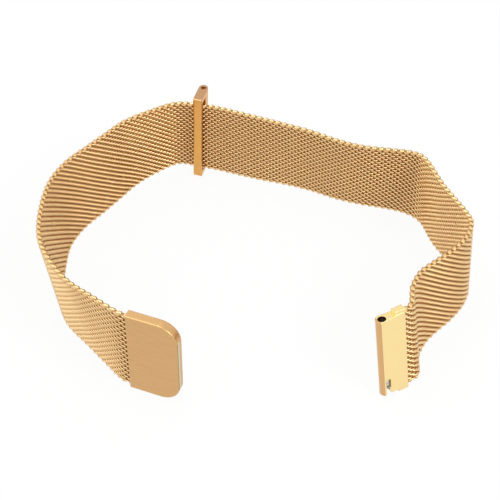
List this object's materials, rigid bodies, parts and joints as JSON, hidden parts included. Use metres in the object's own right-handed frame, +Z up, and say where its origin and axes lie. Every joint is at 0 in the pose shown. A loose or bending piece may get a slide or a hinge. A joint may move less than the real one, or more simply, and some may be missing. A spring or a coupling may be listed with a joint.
{
  "type": "milanese mesh watch band",
  "caption": "Gold milanese mesh watch band with a magnetic clasp, a fixed lug and a sliding slotted lug, each lug with a quick-release spring bar, standing in an open curl",
  "frame": {"origin": "on the surface the band stands on, below the centre of its bounding box", "axes": "+X across the open curl, from the clasp side to the lug side; +Y away from the gap between clasp and lug; +Z up, across the width of the mesh"},
  "size_m": [0.106, 0.0856, 0.0276],
  "materials": {
    "gold_mesh": "gold-plated woven steel wire, satin",
    "gold_metal": "gold-plated steel, finely brushed",
    "steel": "bright stainless steel",
    "magnet": "nickel-plated magnet"
  },
  "bodies": {
    "clasp_end": {"clasp_cover": "gold_metal", "clasp_back_plate": "gold_metal", "clasp_keeper": "steel", "clasp_magnet_upper": "magnet", "clasp_magnet_lower": "magnet", "mesh_clasp_end": "gold_mesh"},
    "mesh_stretch_1": {"mesh_section_1": "gold_mesh"},
    "mesh_stretch_2": {"mesh_section_2": "gold_mesh"},
    "mesh_stretch_3": {"mesh_section_3": "gold_mesh"},
    "mesh_stretch_4": {"mesh_section_4": "gold_mesh"},
    "mesh_stretch_5": {"mesh_section_5": "gold_mesh"},
    "mesh_stretch_6": {"mesh_section_6": "gold_mesh"},
    "mesh_stretch_7": {"mesh_section_7": "gold_mesh"},
    "mesh_stretch_8": {"mesh_section_8": "gold_mesh"},
    "lug_end": {"mesh_lug_end": "gold_mesh", "lug_body": "gold_metal", "lug_bar_tube": "steel", "lug_bar_spring": "steel"},
    "lug_upper_tip": {"lug_bar_upper_tip": "steel"},
    "lug_lower_tip": {"lug_bar_lower_tip": "steel", "lug_bar_release_knob": "steel"},
    "ring": {"slide_ring": "gold_metal", "ring_bar_tube": "steel", "ring_bar_spring": "steel"},
    "ring_upper_tip": {"ring_bar_upper_tip": "steel"},
    "ring_lower_tip": {"ring_bar_lower_tip": "steel", "ring_bar_release_knob": "steel"}
  },
  "joints": [
    {"name": "clasp_side_bend", "type": "hinge", "parent": "mesh_stretch_1", "child": "clasp_end", "pos_m": [-0.03319, -0.03413, 0.01162], "axis": [-0.0499, 0.0534, 0.9973], "range_deg": [-25, 6]},
    {"name": "bend_1_2", "type": "hinge", "parent": "mesh_stretch_2", "child": "mesh_stretch_1", "pos_m": [-0.04908, -0.0142, 0.01154], "axis": [-0.1477, 0.0657, 0.9869], "range_deg": [-40, 6]},
    {"name": "bend_2_3", "type": "hinge", "parent": "mesh_stretch_3", "child": "mesh_stretch_2", "pos_m": [-0.04823, 0.01263, 0.01167], "axis": [-0.1038, 0.0856, 0.9909], "range_deg": [-40, 6]},
    {"name": "bend_3_4", "type": "hinge", "parent": "mesh_stretch_4", "child": "mesh_stretch_3", "pos_m": [-0.02451, 0.0381, 0.01282], "axis": [0.0131, -0.0538, 0.9985], "range_deg": [-60, 6]},
    {"name": "bend_4_5", "type": "hinge", "parent": "mesh_stretch_4", "child": "mesh_stretch_5", "pos_m": [0.01107, 0.02927, 0.01284], "axis": [0.0275, 0.0906, -0.9955], "range_deg": [-15, 6]},
    {"name": "bend_5_6", "type": "hinge", "parent": "mesh_stretch_5", "child": "mesh_stretch_6", "pos_m": [0.04142, 0.01896, 0.01192], "axis": [0.0363, 0.0287, -0.9989], "range_deg": [-50, 6]},
    {"name": "bend_6_7", "type": "hinge", "parent": "mesh_stretch_6", "child": "mesh_stretch_7", "pos_m": [0.05145, -0.00763, 0.0119], "axis": [0.0714, 0.0055, -0.9974], "range_deg": [-55, 6]},
    {"name": "bend_7_8", "type": "hinge", "parent": "mesh_stretch_7", "child": "mesh_stretch_8", "pos_m": [0.03825, -0.02463, 0.01182], "axis": [0.1204, -0.1119, -0.9864], "range_deg": [-10, 12]},
    {"name": "lug_side_bend", "type": "hinge", "parent": "mesh_stretch_8", "child": "lug_end", "pos_m": [0.03554, -0.0342, 0.01183], "axis": [0.1422, -0.1083, -0.9839], "range_deg": [-40, 6]},
    {"name": "ring_slide", "type": "slide", "parent": "mesh_stretch_4", "child": "ring", "axis": [0.9502, -0.3115, 0.0085], "range_m": [-0.001, 0.012]},
    {"name": "lug_upper_tip_slide", "type": "slide", "parent": "lug_end", "child": "lug_upper_tip", "axis": [-0.11, 0.125, 0.986], "range_m": [0, 0.0026]},
    {"name": "lug_lower_tip_slide", "type": "slide", "parent": "lug_end", "child": "lug_lower_tip", "axis": [0.11, -0.125, -0.986], "range_m": [0, 0.002]},
    {"name": "ring_upper_tip_slide", "type": "slide", "parent": "ring", "child": "ring_upper_tip", "axis": [0.03, -0.051, 0.9983], "range_m": [0, 0.0021]},
    {"name": "ring_lower_tip_slide", "type": "slide", "parent": "ring", "child": "ring_lower_tip", "axis": [-0.03, 0.051, -0.9983], "range_m": [0, 0.0021]}
  ]
}
